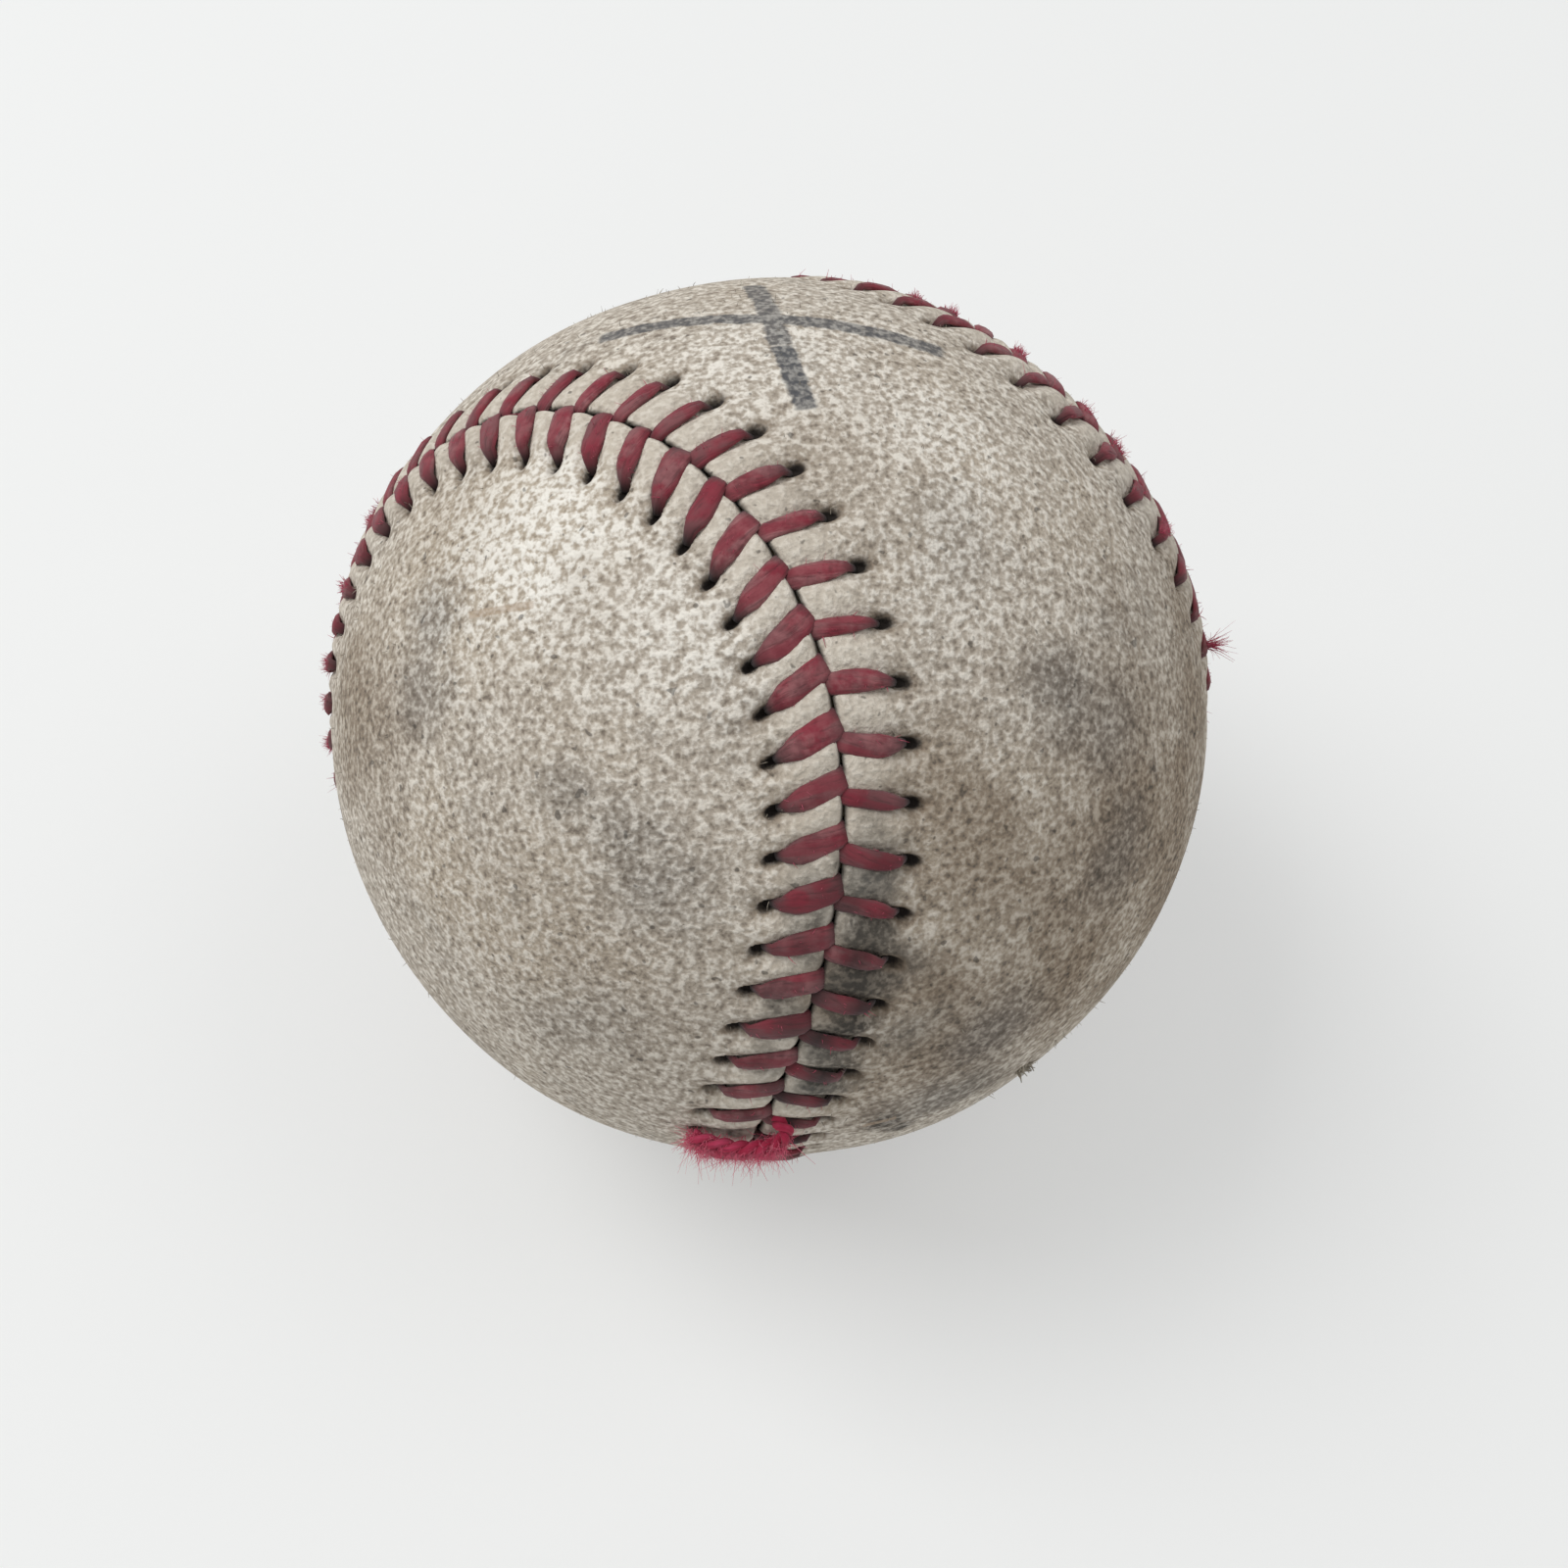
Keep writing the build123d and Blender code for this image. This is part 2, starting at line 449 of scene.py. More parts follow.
class Graph:
    """Writes shader nodes and their links into one node tree."""

    NUMBER_SUMS = ("DISTANCE", "DOT_PRODUCT", "LENGTH")

    def __init__(self, tree: bpy.types.NodeTree) -> None:
        """Keep the tree that nodes are written into."""
        self.tree = tree

    def feed(self, node: bpy.types.Node, label: Any, value: Any) -> None:
        """Set or link one input of a node.

        Args:
            node: the node.
            label: the input's name or number.
            value: a plain value, a value of the tree or a socket.
        """
        value = value.socket if isinstance(value, Value) else value
        if isinstance(value, bpy.types.NodeSocket):
            self.tree.links.new(value, node.inputs[label])
        else:
            node.inputs[label].default_value = value

    def add(self, kind: str, inputs: dict[Any, Any] | None = None, **settings: Any) -> bpy.types.Node:
        """Add a node, set its choices, and set or link its inputs.

        Args:
            kind: the node's type name.
            inputs: values by input name or number.
            settings: the node's own choices.

        Returns:
            The new node.
        """
        node = self.tree.nodes.new(kind)
        for label, value in settings.items():
            setattr(node, label, value)
        for label, value in (inputs or {}).items():
            self.feed(node, label, value)
        return node

    def math(self, operation: str, first: Any, second: Any = 0.0) -> Value:
        """Result of one sum on two values."""
        return Value(self, self.add("ShaderNodeMath", {0: first, 1: second}, operation=operation).outputs[0])

    def vector(self, operation: str, first: Any, second: Any = (0.0, 0.0, 0.0)) -> Value:
        """Result of one vector sum: a number for a distance, dot product or length, or else a vector."""
        node = self.add("ShaderNodeVectorMath", {0: first, 1: second}, operation=operation)
        return Value(self, node.outputs["Value" if operation in self.NUMBER_SUMS else "Vector"])

    def noise(self, place: Any, scale: Any, detail: float = 3.0, rough: float = 0.55) -> Value:
        """Value of fractal noise at a place."""
        inputs = {"Vector": place, "Scale": scale, "Detail": detail, "Roughness": rough}
        return Value(self, self.add("ShaderNodeTexNoise", inputs).outputs[0])

    def ease(self, value: Any, low: Any, high: Any, start: Any = 0.0, end: Any = 1.0) -> Value:
        """Smooth step of a value between two limits, brought to a new range."""
        inputs = {0: value, 1: low, 2: high, 3: start, 4: end}
        return Value(self, self.add("ShaderNodeMapRange", inputs, interpolation_type="SMOOTHSTEP").outputs[0])

    def mix(self, share: Any, first: Any, second: Any) -> Value:
        """Colour between two colours, by a share."""
        inputs = {0: share, 6: rgba(first), 7: rgba(second)}
        return Value(self, self.add("ShaderNodeMix", inputs, data_type="RGBA").outputs[2])

    def attribute(self, name: str) -> Value:
        """A named value of the mesh."""
        return Value(self, self.add("ShaderNodeAttribute", attribute_name=name).outputs["Fac"])

    def place(self) -> Value:
        """The place on the piece, in object coordinates."""
        return Value(self, self.add("ShaderNodeTexCoord").outputs["Object"])

    def camera_ray(self) -> Value:
        """One where the camera sees the surface itself."""
        return Value(self, self.add("ShaderNodeLightPath").outputs["Is Camera Ray"])

    def group(self, effect: bpy.types.NodeTree, **inputs: Any) -> dict[str, Value]:
        """Place a shared effect with its own values, and give its outputs by name."""
        node = self.add("ShaderNodeGroup", inputs, node_tree=effect)
        return {socket.name: Value(self, socket) for socket in node.outputs}


class Effects:
    """Shared effects of the ball's finishes, each a node group that is built when first asked for."""

    @staticmethod
    def _start(name: str, vectors: str, values: str, outputs: str) -> tuple[Graph, dict[str, Value], Any]:
        """Make an empty group with named sockets.

        Args:
            name: the group's name.
            vectors: names of its vector inputs.
            values: names of its number inputs.
            outputs: names of its outputs, which are all numbers.

        Returns:
            The group's graph, its inputs by name and its output node.
        """
        tree = bpy.data.node_groups.new(name, "ShaderNodeTree")
        sockets = [(label, "INPUT", "NodeSocketVector") for label in vectors.split()]
        sockets += [(label, "INPUT", "NodeSocketFloat") for label in values.split()]
        sockets += [(label, "OUTPUT", "NodeSocketFloat") for label in outputs.split()]
        for label, way, kind in sockets:
            tree.interface.new_socket(name=label, in_out=way, socket_type=kind)
        graph = Graph(tree)
        given = {socket.name: Value(graph, socket) for socket in graph.add("NodeGroupInput").outputs}
        return graph, given, graph.add("NodeGroupOutput")

    @cached_property
    def nap(self) -> bpy.types.NodeTree:
        """Raised nap of scuffed leather: soft grains of about one size with a finer grit in them.

        Returns:
            A group from Place and Size to Height, which is near 0.5 on average.
        """
        graph, given, out = self._start("nap", "Place", "Size", "Height")
        scale = 1.0 / given["Size"]
        coarse = graph.noise(given["Place"], scale, 1.0, 0.5)
        fine = graph.noise(given["Place"], scale * 2.3, 2.0, 0.6)
        graph.feed(out, "Height", coarse * 0.7 + fine * 0.3)
        return graph.tree

    @cached_property
    def soil(self) -> bpy.types.NodeTree:
        """Patchy soil: broad blots broken up by smaller ones.

        Returns:
            A group from Place, Size and Amount to Mask.
        """
        graph, given, out = self._start("soil", "Place", "Size Amount", "Mask")
        scale = 1.0 / given["Size"]
        broad = graph.noise(given["Place"], scale)
        small = graph.noise(given["Place"], scale * 4.3, 3.0, 0.6)
        low = 0.62 - given["Amount"] * 0.3
        graph.feed(out, "Mask", graph.ease(broad * 0.65 + small * 0.35, low, low + 0.22))
        return graph.tree

    @cached_property
    def smudge(self) -> bpy.types.NodeTree:
        """A soft round smudge about one direction from the ball's centre.

        Returns:
            A group from Direction, Centre, Radius and Breakup to Mask.
        """
        graph, given, out = self._start("smudge", "Direction Centre", "Radius Breakup", "Mask")
        away = graph.vector("DISTANCE", given["Direction"], given["Centre"])
        share = away / given["Radius"] + (given["Breakup"] - 0.5) * 2.2
        graph.feed(out, "Mask", graph.ease(share, 0.0, 1.1, 1.0, 0.0))
        return graph.tree

    @cached_property
    def stroke(self) -> bpy.types.NodeTree:
        """A pen stroke along a great circle, with a ragged edge.

        Returns:
            A group from Direction, Pole, Middle, Width, Reach and Breakup to Mask.
        """
        graph, given, out = self._start("stroke", "Direction Pole Middle", "Width Reach Breakup", "Mask")
        aside = graph.math("ABSOLUTE", graph.vector("DOT_PRODUCT", given["Direction"], given["Pole"]))
        share = aside / given["Width"] + (given["Breakup"] - 0.5) * 0.9
        away = graph.vector("DISTANCE", given["Direction"], given["Middle"])
        body = graph.ease(share, 0.75, 1.15, 1.0, 0.0)
        ends = graph.ease(away / given["Reach"], 0.96, 1.04, 1.0, 0.0)
        graph.feed(out, "Mask", body * ends)
        return graph.tree

    @cached_property
    def yarn(self) -> bpy.types.NodeTree:
        """Wound yarn: bands of parallel strands whose way changes from patch to patch.

        Returns:
            A group from Place and Width to Strand and Height.
        """
        graph, given, out = self._start("yarn", "Place", "Width", "Strand Height")
        cell = graph.add("ShaderNodeTexVoronoi", {"Vector": given["Place"], "Scale": 90.0})
        way = graph.vector("NORMALIZE", graph.vector("SUBTRACT", cell.outputs["Color"], (0.5, 0.5, 0.5)))
        run = graph.vector("DOT_PRODUCT", given["Place"], way)
        wobble = graph.noise(given["Place"], 400.0, 2.0) * 0.0012
        turns = (run + wobble) / given["Width"]
        height = graph.math("ABSOLUTE", graph.math("SINE", turns * math.pi))
        graph.feed(out, "Strand", graph.ease(height, 0.05, 0.7))
        graph.feed(out, "Height", height)
        return graph.tree

    @cached_property
    def ply(self) -> bpy.types.NodeTree:
        """Laid fibres of a thread: slow slanted ridges along it, with fine streaks that follow them.

        Returns:
            A group from Along, Around, Turns and Ridges to Ridge and Streak.
        """
        graph, given, out = self._start("ply", "", "Along Around Turns Ridges", "Ridge Streak")
        slant = given["Around"] + given["Along"] * given["Turns"]
        grid = graph.add("ShaderNodeCombineXYZ", {0: given["Along"] * 3.0, 1: slant * 16.0}).outputs[0]
        streak = graph.noise(grid, 1.0, 3.0, 0.6)
        wave = graph.math("SINE", slant * given["Ridges"] * (2.0 * math.pi) + streak * 2.0)
        graph.feed(out, "Ridge", graph.ease(wave, -1.0, 0.8))
        graph.feed(out, "Streak", streak)
        return graph.tree


EFFECTS = Effects()


def start_material(name: str, rough: float, sheen: float = 0.0) -> tuple[bpy.types.Material, Graph, Any]:
    """A new material with its shader.

    Args:
        name: the material's name.
        rough: the shader's roughness.
        sheen: the shader's sheen.

    Returns:
        The material, its graph and its shader node.
    """
    material = bpy.data.materials.new(name)
    material.use_nodes = True
    shader = material.node_tree.nodes["Principled BSDF"]
    shader.inputs["Roughness"].default_value = rough
    shader.inputs["Sheen Weight"].default_value = sheen
    shader.inputs["Specular IOR Level"].default_value = 0.3
    return material, Graph(material.node_tree), shader


def add_bump(graph: Graph, shader: bpy.types.Node, height: Value, strength: float, depth: float) -> None:
    """Feed a height to the shader's normal.

    Args:
        graph: the material's graph.
        shader: its shader.
        height: the height.
        strength: how strong the bump is, from 0 to 1.
        depth: real depth in metres for a height of one.
    """
    inputs = {"Height": height, "Strength": strength, "Distance": depth}
    graph.feed(shader, "Normal", graph.add("ShaderNodeBump", inputs).outputs["Normal"])


@dataclass(frozen=True)
class Stroke:
    """A plain stroke between two pixels of the photograph, with its width in millimetres and strength."""

    start: Pixel
    end: Pixel
    width: float
    strength: float


class Tone(Enum):
    """What a smudge does to the leather; some smudges also paint shade or a highlight."""

    GREY = "rubbed with grey"
    # Brown stains, and painted shade on the lower right and at both sides of the outline.
    BROWN = "stained brown"
    # Pale scuffs, and the painted highlight on the upper left.
    CLEAN = "scuffed pale"
    # Dirt caked along the seam, and painted shadow under the loose end.
    DARK = "caked with dirt"
    ASH = "grimed grey"


# Smudges of the leather by what they do: pixel across, pixel down, radius in millimetres, strength.
SMUDGES: dict[Tone, tuple[tuple[float, float, float, float], ...]] = {
    Tone.GREY: (
        (440, 630, 4.5, 0.55), (432, 700, 4.5, 0.45), (575, 805, 4.5, 0.4), (632, 860, 5.5, 0.45),
        (662, 905, 5.5, 0.5), (1085, 710, 5.5, 0.55), (1130, 745, 5.5, 0.45), (1010, 1055, 6.0, 0.6),
        (1140, 880, 6.0, 0.45), (585, 1040, 6.0, 0.3), (960, 540, 6.0, 0.3), (955, 1120, 6.0, 0.5),
    ),
    Tone.BROWN: (
        # Brown stains, and painted shade on the lower right and at the left and right outline.
        (985, 880, 14.0, 0.8), (1150, 860, 21.0, 1.0), (1200, 890, 16.0, 1.0), (1110, 980, 14.0, 1.0),
        (970, 1070, 14.0, 0.95), (860, 1010, 8.0, 0.9), (935, 1010, 8.0, 1.0), (1215, 700, 12.0, 0.9),
        (365, 720, 11.0, 0.8), (620, 1000, 15.0, 0.25), (950, 1070, 10.0, 1.0), (1205, 625, 8.0, 0.8),
        (450, 530, 10.0, 0.22), (840, 470, 8.0, 0.25),
    ),
    Tone.CLEAN: (
        # Pale scuffs, and the painted highlight on the upper left, which is the first.
        (560, 555, 13.0, 1.0), (700, 640, 10.0, 0.6), (960, 450, 10.0, 0.45), (975, 575, 9.0, 0.3),
        (790, 370, 13.0, 0.45),
    ),
    Tone.DARK: (
        # The first two are painted shadow under the loose end; the rest are dirt caked along the seam.
        (746, 1153, 2.4, 1.0), (724, 1151, 1.8, 1.0), (830, 944, 1.5, 0.9), (812, 998, 1.3, 0.8),
        (890, 870, 3.0, 0.6), (885, 940, 3.8, 0.9), (880, 995, 4.6, 1.0), (868, 1045, 4.4, 1.0),
        (850, 1090, 4.0, 0.9), (815, 950, 2.4, 0.7), (795, 1020, 2.8, 0.7), (785, 1085, 3.0, 0.7),
        (904, 1146, 2.0, 1.0), (918, 1150, 1.6, 1.0),
    ),
    Tone.ASH: (
        (832, 1106, 4.2, 1.0), (842, 1064, 3.8, 0.9), (868, 1005, 3.6, 0.75), (885, 950, 3.6, 0.7),
        (885, 893, 5.0, 1.0), (985, 1110, 6.0, 0.4), (838, 925, 3.0, 0.7), (822, 975, 3.2, 0.75),
        (806, 1040, 3.4, 0.75), (918, 985, 4.5, 0.6), (928, 1055, 4.5, 0.6), (888, 838, 2.6, 0.4),
        (825, 895, 2.4, 0.5), (812, 1000, 2.6, 0.55), (795, 1085, 3.0, 0.6),
    ),
}


@dataclass(frozen=True)
class LeatherFinish:
    """Worn cover leather: pale raised nap, brown-grey ground, soil, smudges and a pen cross, with painted
    shade in the holes, along the seam's groove, towards the outline, on the lower right and under the loose
    end, and a painted highlight on the upper left.
    """

    nap: Colour = (0.80, 0.74, 0.65)
    # Pale nap of the scuffs and of the painted highlight on the upper left.
    highlight_and_scuff: Colour = (0.95, 0.91, 0.83)
    ground: Colour = (0.46, 0.398, 0.326)
    tan: Colour = (0.492, 0.416, 0.325)
    pit: Colour = (0.245, 0.203, 0.161)
    band: Colour = (0.68, 0.615, 0.52)
    grey: Colour = (0.142, 0.136, 0.13)
    grey_nap: Colour = (0.365, 0.348, 0.325)
    # brown and dull colour the brown smudges: stains, and painted shade on the lower right and at the
    # outline.
    brown: Colour = (0.194, 0.138, 0.09)
    dull: Colour = (0.345, 0.268, 0.188)
    dark_pit: Colour = (0.105, 0.086, 0.066)
    ash: Colour = (0.125, 0.118, 0.104)
    scuff: Colour = (0.43, 0.31, 0.21)
    # Colour of caked dirt and specks, also used for the painted shadow under the loose end.
    mud_and_shadow: Colour = (0.055, 0.048, 0.04)
    # On the leather this is only painted shade: the near black of the holes and of the seam's groove.
    shade_and_dirt: Colour = (0.022, 0.017, 0.014)
    ink: Colour = (0.075, 0.081, 0.092)
    nap_size: float = 0.00054
    strokes: tuple[Stroke, ...] = (
        Stroke((768, 290), (797, 352), 1.75, 0.84),
        Stroke((797, 352), (823, 417), 1.75, 1.0),
        Stroke((612, 346), (785, 325), 1.7, 0.9),
        Stroke((785, 325), (962, 360), 1.8, 0.9),
    )
    scuffs: tuple[Stroke, ...] = (
        Stroke((478, 628), (545, 617), 0.6, 0.5),
        Stroke((880, 1150), (915, 1141), 0.7, 0.5),
    )
    soil_sizes: tuple[float, float, float] = (0.011, 0.019, 0.0075)

    def _spots(self, graph: Graph, tone: Tone, direction: Value, breakup: Value) -> Value:
        """Largest of the smudges of one tone.

        Args:
            graph: the material's graph.
            tone: which smudges.
            direction: direction to the place.
            breakup: noise that breaks their edges.

        Returns:
            The mask.
        """
        mask: Any = 0.0
        for x, y, radius, strength in SMUDGES[tone]:
            spot = {"Centre": CAMERA.on_ball(x, y).tolist(), "Radius": radius / CAMERA.radius}
            one = graph.group(EFFECTS.smudge, Direction=direction, Breakup=breakup, **spot)["Mask"]
            mask = graph.math("MAXIMUM", mask, one * strength)
        return mask

    def _marks(self, graph: Graph, strokes: Sequence[Stroke], direction: Value, breakup: Value) -> Value:
        """Largest of some pen strokes or scuffs.

        Args:
            graph: the material's graph.
            strokes: the strokes.
            direction: direction to the place.
            breakup: noise that frays the strokes.

        Returns:
            The mask.
        """
        mask: Any = 0.0
        for stroke in strokes:
            start, end = CAMERA.on_ball(*stroke.start), CAMERA.on_ball(*stroke.end)
            middle = unit(start + end)
            line = {
                "Pole": unit(np.cross(start, end)).tolist(),
                "Middle": middle.tolist(),
                "Width": stroke.width / 2 / CAMERA.radius,
                "Reach": float(np.linalg.norm(start - middle)),
            }
            one = graph.group(EFFECTS.stroke, Direction=direction, Breakup=breakup, **line)["Mask"]
            mask = graph.math("MAXIMUM", mask, one * stroke.strength)
        return mask

    def _stained(self, graph: Graph, place: Value, direction: Value, nap: Value) -> Value:
        """Colour of the nap over its ground, with the stains that lie in it, and the painted shade and
        highlight that some smudges and the soil carry.

        Args:
            graph: the material's graph.
            place: the place on the ball.
            direction: direction to the place.
            nap: height of the nap.

        Returns:
            The colour.
        """
        breakup = graph.noise(place, 170.0, 6.0, 0.62)
        # Painted shade: soil, blots and rubs grow where the leather turns away from the camera, which darkens
        # it towards the outline.
        facing = graph.vector("DOT_PRODUCT", direction, CAMERA.toward().tolist())
        soil_and_outline_shade = graph.ease(facing, -0.05, 0.4, 0.6, 0.3)
        soil, blots, rubs = (
            graph.group(EFFECTS.soil, Place=place, Size=size, Amount=soil_and_outline_shade)["Mask"]
            for size in self.soil_sizes
        )
        grey, brown, clean, shadow_and_caked, ash = (self._spots(graph, tone, direction, breakup) for tone in Tone)
        grey = graph.math("MAXIMUM", grey, rubs * 0.4)
        # Brown smudges are stains and painted shade on the lower right and at the outline; blots are soil.
        brown = graph.math("MAXIMUM", brown, blots * 0.5)
        # clean holds the pale scuffs and the painted highlight, which raise and lighten the nap.
        level = nap - (soil * 0.04 + grey * 0.03 - clean * 0.085)
        ground = graph.mix(graph.ease(graph.noise(place, 45.0), 0.4, 0.65), self.ground, self.tan)
        ground = graph.mix(brown * 0.85, ground, self.brown)
        ground = graph.mix(grey * 0.85, ground, self.grey)
        pit = graph.mix(graph.math("MAXIMUM", brown, grey), self.pit, self.dark_pit)
        base = graph.mix(graph.ease(level, 0.28, 0.46), pit, ground)
        pale = graph.mix(brown * 0.85, graph.mix(clean, self.nap, self.highlight_and_scuff), self.dull)
        pale = graph.mix(grey * 0.7, pale, self.grey_nap)
        base = graph.mix(graph.ease(level, 0.43, 0.66), base, pale)
        beside = graph.ease(graph.attribute("edge"), 2.6, 4.8, 0.6, 0.0)
        base = graph.mix(beside, base, graph.mix(brown, self.band, self.dull))
        base = graph.mix(ash * graph.ease(nap, 0.4, 0.64, 1.0, 0.7), base, self.ash)
        # Caked dirt along the seam, and painted shadow under the loose end.
        base = graph.mix(shadow_and_caked * graph.ease(nap, 0.4, 0.62, 0.95, 0.55), base, self.mud_and_shadow)
        specks = graph.ease(graph.noise(place, 1250.0, 1.0, 0.5), 0.70, 0.76, 0.0, 0.6)
        return graph.mix(specks, base, self.mud_and_shadow)

    def _sewn(self, graph: Graph, base: Value, fray: Value) -> Value:
        """Leather along the seam: painted shade, near black in the holes and along the seam's groove, and
        brown about the holes.

        Args:
            graph: the material's graph.
            base: colour of the leather.
            fray: noise that breaks the edges.

        Returns:
            The colour.
        """
        ring = graph.attribute("hole") + (fray - 0.5) * 1.1
        base = graph.mix(graph.ease(ring, 1.0, 2.3, 0.55, 0.0), base, self.brown)
        # Painted shade: the seam's groove and the inside of each hole turn near black.
        groove = graph.ease(graph.attribute("edge"), 0.03, 0.36, 0.88, 0.0)
        dark = graph.math("MAXIMUM", graph.ease(ring, 0.7, 1.42, 1.0, 0.0), groove)
        return graph.mix(dark, base, self.shade_and_dirt)

    def material(self) -> bpy.types.Material:
        """Build the leather's material.

        Returns:
            The material.
        """
        material, graph, shader = start_material("cover_leather", 0.9)
        place = graph.place()
        direction = graph.vector("NORMALIZE", place)
        fray = graph.noise(place, 1100.0, 3.0, 0.6)
        nap = graph.group(EFFECTS.nap, Place=place, Size=self.nap_size)["Height"]
        base = self._sewn(graph, self._stained(graph, place, direction, nap), fray)
        base = graph.mix(self._marks(graph, self.scuffs, direction, fray), base, self.scuff)
        marks = self._marks(graph, self.strokes, direction, fray)
        inked = marks * graph.ease(nap, 0.40, 0.62, 0.92, 0.68)
        graph.feed(shader, "Base Color", graph.mix(inked, base, self.ink))
        add_bump(graph, shader, nap, 0.6, 0.0007)
        return material


@dataclass(frozen=True)
class ThreadFinish:
    """Waxed red thread, dulled by handling, with cleaner crimson where it is sheltered, and painted shade at
    the stitch ends.
    """

    name: str = "red_thread"
    worn: Colour = (0.195, 0.063, 0.07)
    clean: Colour = (0.25, 0.019, 0.038)
    dusty: Colour = (0.37, 0.15, 0.155)
    # Dark colour of dirt on the thread, also used for the painted shade at the stitch ends.
    shade_and_dirt: Colour = (0.03, 0.018, 0.017)
    dirt_amount: float = 0.36
    dirt_size: float = 0.0024
    ridges: float = 2.0
    turns: float = 0.25

    def material(self) -> bpy.types.Material:
        """Build the thread's material.

        Returns:
            The material.
        """
        material, graph, shader = start_material(self.name, 0.8, 0.1)
        place = graph.place()
        along, around, grime_and_end_shade, tone = map(graph.attribute, ("along", "around", "grime_and_end_shade", "tone"))
        ply = graph.group(EFFECTS.ply, Along=along, Around=around, Turns=self.turns, Ridges=self.ridges)
        soil = graph.group(EFFECTS.soil, Place=place, Size=self.dirt_size, Amount=self.dirt_amount)["Mask"]
        patch = graph.ease(graph.noise(place, 420.0, 2.0), 0.42, 0.62)
        rub = tone * graph.ease(graph.noise(place, 950.0, 3.0, 0.6), 0.35, 0.65)
        base = graph.mix(patch * 0.8, self.worn, self.clean)
        base = graph.mix(rub * 0.85, base, self.dusty)
        base = graph.mix(graph.ease(ply["Ridge"], 0.0, 0.6, 0.55, 0.0), base, self.clean)
        base = graph.mix(graph.ease(ply["Streak"], 0.3, 0.5, 0.4, 0.0), base, self.shade_and_dirt)
        # Soil, grime and the painted shade at the stitch ends darken the thread.
        dark = graph.math("MAXIMUM", soil * 0.5, grime_and_end_shade)
        graph.feed(shader, "Base Color", graph.mix(dark, base, self.shade_and_dirt))
        add_bump(graph, shader, ply["Ridge"] + ply["Streak"] * 1.2, 0.6, 0.00012)
        return material


@dataclass(frozen=True)
class YarnFinish:
    """Wound yarn of one colour, with painted shade in the gaps between strands."""

    name: str
    light: Colour
    dark: Colour
    width: float

    def material(self) -> bpy.types.Material:
        """Build the yarn's material.

        Returns:
            The material.
        """
        material, graph, shader = start_material(self.name, 0.9, 0.3)
        place = graph.place()
        yarn = graph.group(EFFECTS.yarn, Place=place, Width=self.width)
        fleece = graph.noise(place, 2500.0, 3.0, 0.65)
        # Painted shade: dark in the gaps between strands, light on their crests.
        base = graph.mix(yarn["Strand"], self.dark, self.light)
        base = graph.mix(graph.ease(fleece, 0.35, 0.7, 0.3, 0.0), base, self.dark)
        graph.feed(shader, "Base Color", base)
        add_bump(graph, shader, yarn["Height"] + fleece * 0.4, 0.8, 0.0005)
        return material


@dataclass(frozen=True)
class MouldedFinish:
    """Moulded rubber, cement or cork composition, or plain fibres: a ground with specks of another colour."""

    name: str
    ground: Colour
    speck: Colour
    speck_size: float
    rough: float

    def material(self) -> bpy.types.Material:
        """Build the moulded material.

        Returns:
            The material.
        """
        material, graph, shader = start_material(self.name, self.rough)
        place = graph.place()
        nap = graph.group(EFFECTS.nap, Place=place, Size=self.speck_size)["Height"]
        soil = graph.group(EFFECTS.soil, Place=place, Size=self.speck_size * 6, Amount=0.3)["Mask"]
        base = graph.mix(graph.ease(nap, 0.46, 0.6, 0.0, 0.6), self.ground, self.speck)
        graph.feed(shader, "Base Color", graph.mix(soil * 0.25, base, self.speck))
        add_bump(graph, shader, nap, 0.3, self.speck_size * 0.3)
        return material


